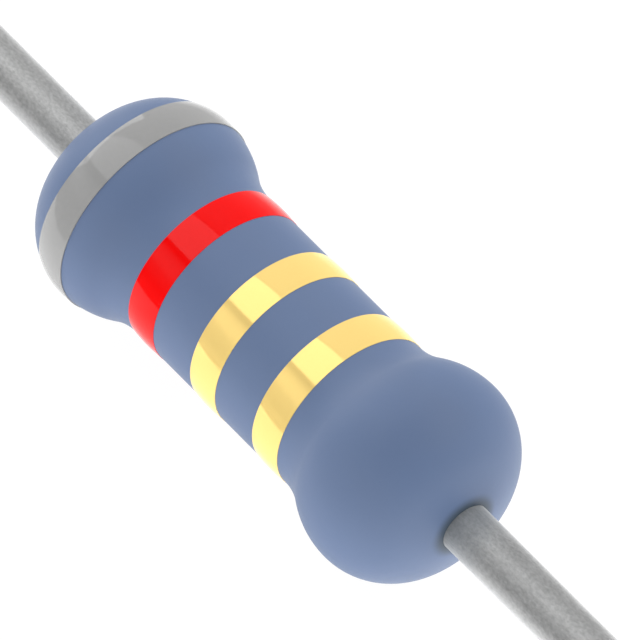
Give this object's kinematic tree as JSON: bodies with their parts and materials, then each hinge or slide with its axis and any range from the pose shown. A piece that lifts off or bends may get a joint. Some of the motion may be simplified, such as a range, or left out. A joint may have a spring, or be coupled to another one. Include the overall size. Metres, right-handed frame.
{
  "type": "axial resistor",
  "caption": "Small axial resistor: dog-bone slate-blue lacquer body with grey, red and gold colour bands, and a straight tinned wire lead at each end.",
  "frame": {"origin": "middle of the body, on the axis of the wire leads", "axes": "+X along the leads, away from the grey band; the part is round about X"},
  "size_m": [0.062, 0.0024, 0.0024],
  "materials": {
    "ceramic": "fired ceramic, matte",
    "resistive_film": "thin deposited film, satin",
    "cap_steel": "pressed, tin plated",
    "tinned_wire": "hot-tinned copper wire, dull and finely grained",
    "lacquer": "soft satin lacquer",
    "grey_paint": "glossy band paint",
    "red_paint": "glossy band paint",
    "gold_paint": "bright metallic band paint"
  },
  "bodies": {
    "root": {"ceramic_rod": "ceramic", "resistive_film": "resistive_film", "left_cap": "cap_steel", "right_cap": "cap_steel", "left_lead": "tinned_wire", "right_lead": "tinned_wire", "lacquer_coat": "lacquer", "grey_band": "grey_paint", "red_band": "red_paint", "middle_gold_band": "gold_paint", "right_gold_band": "gold_paint"}
  },
  "joints": []
}
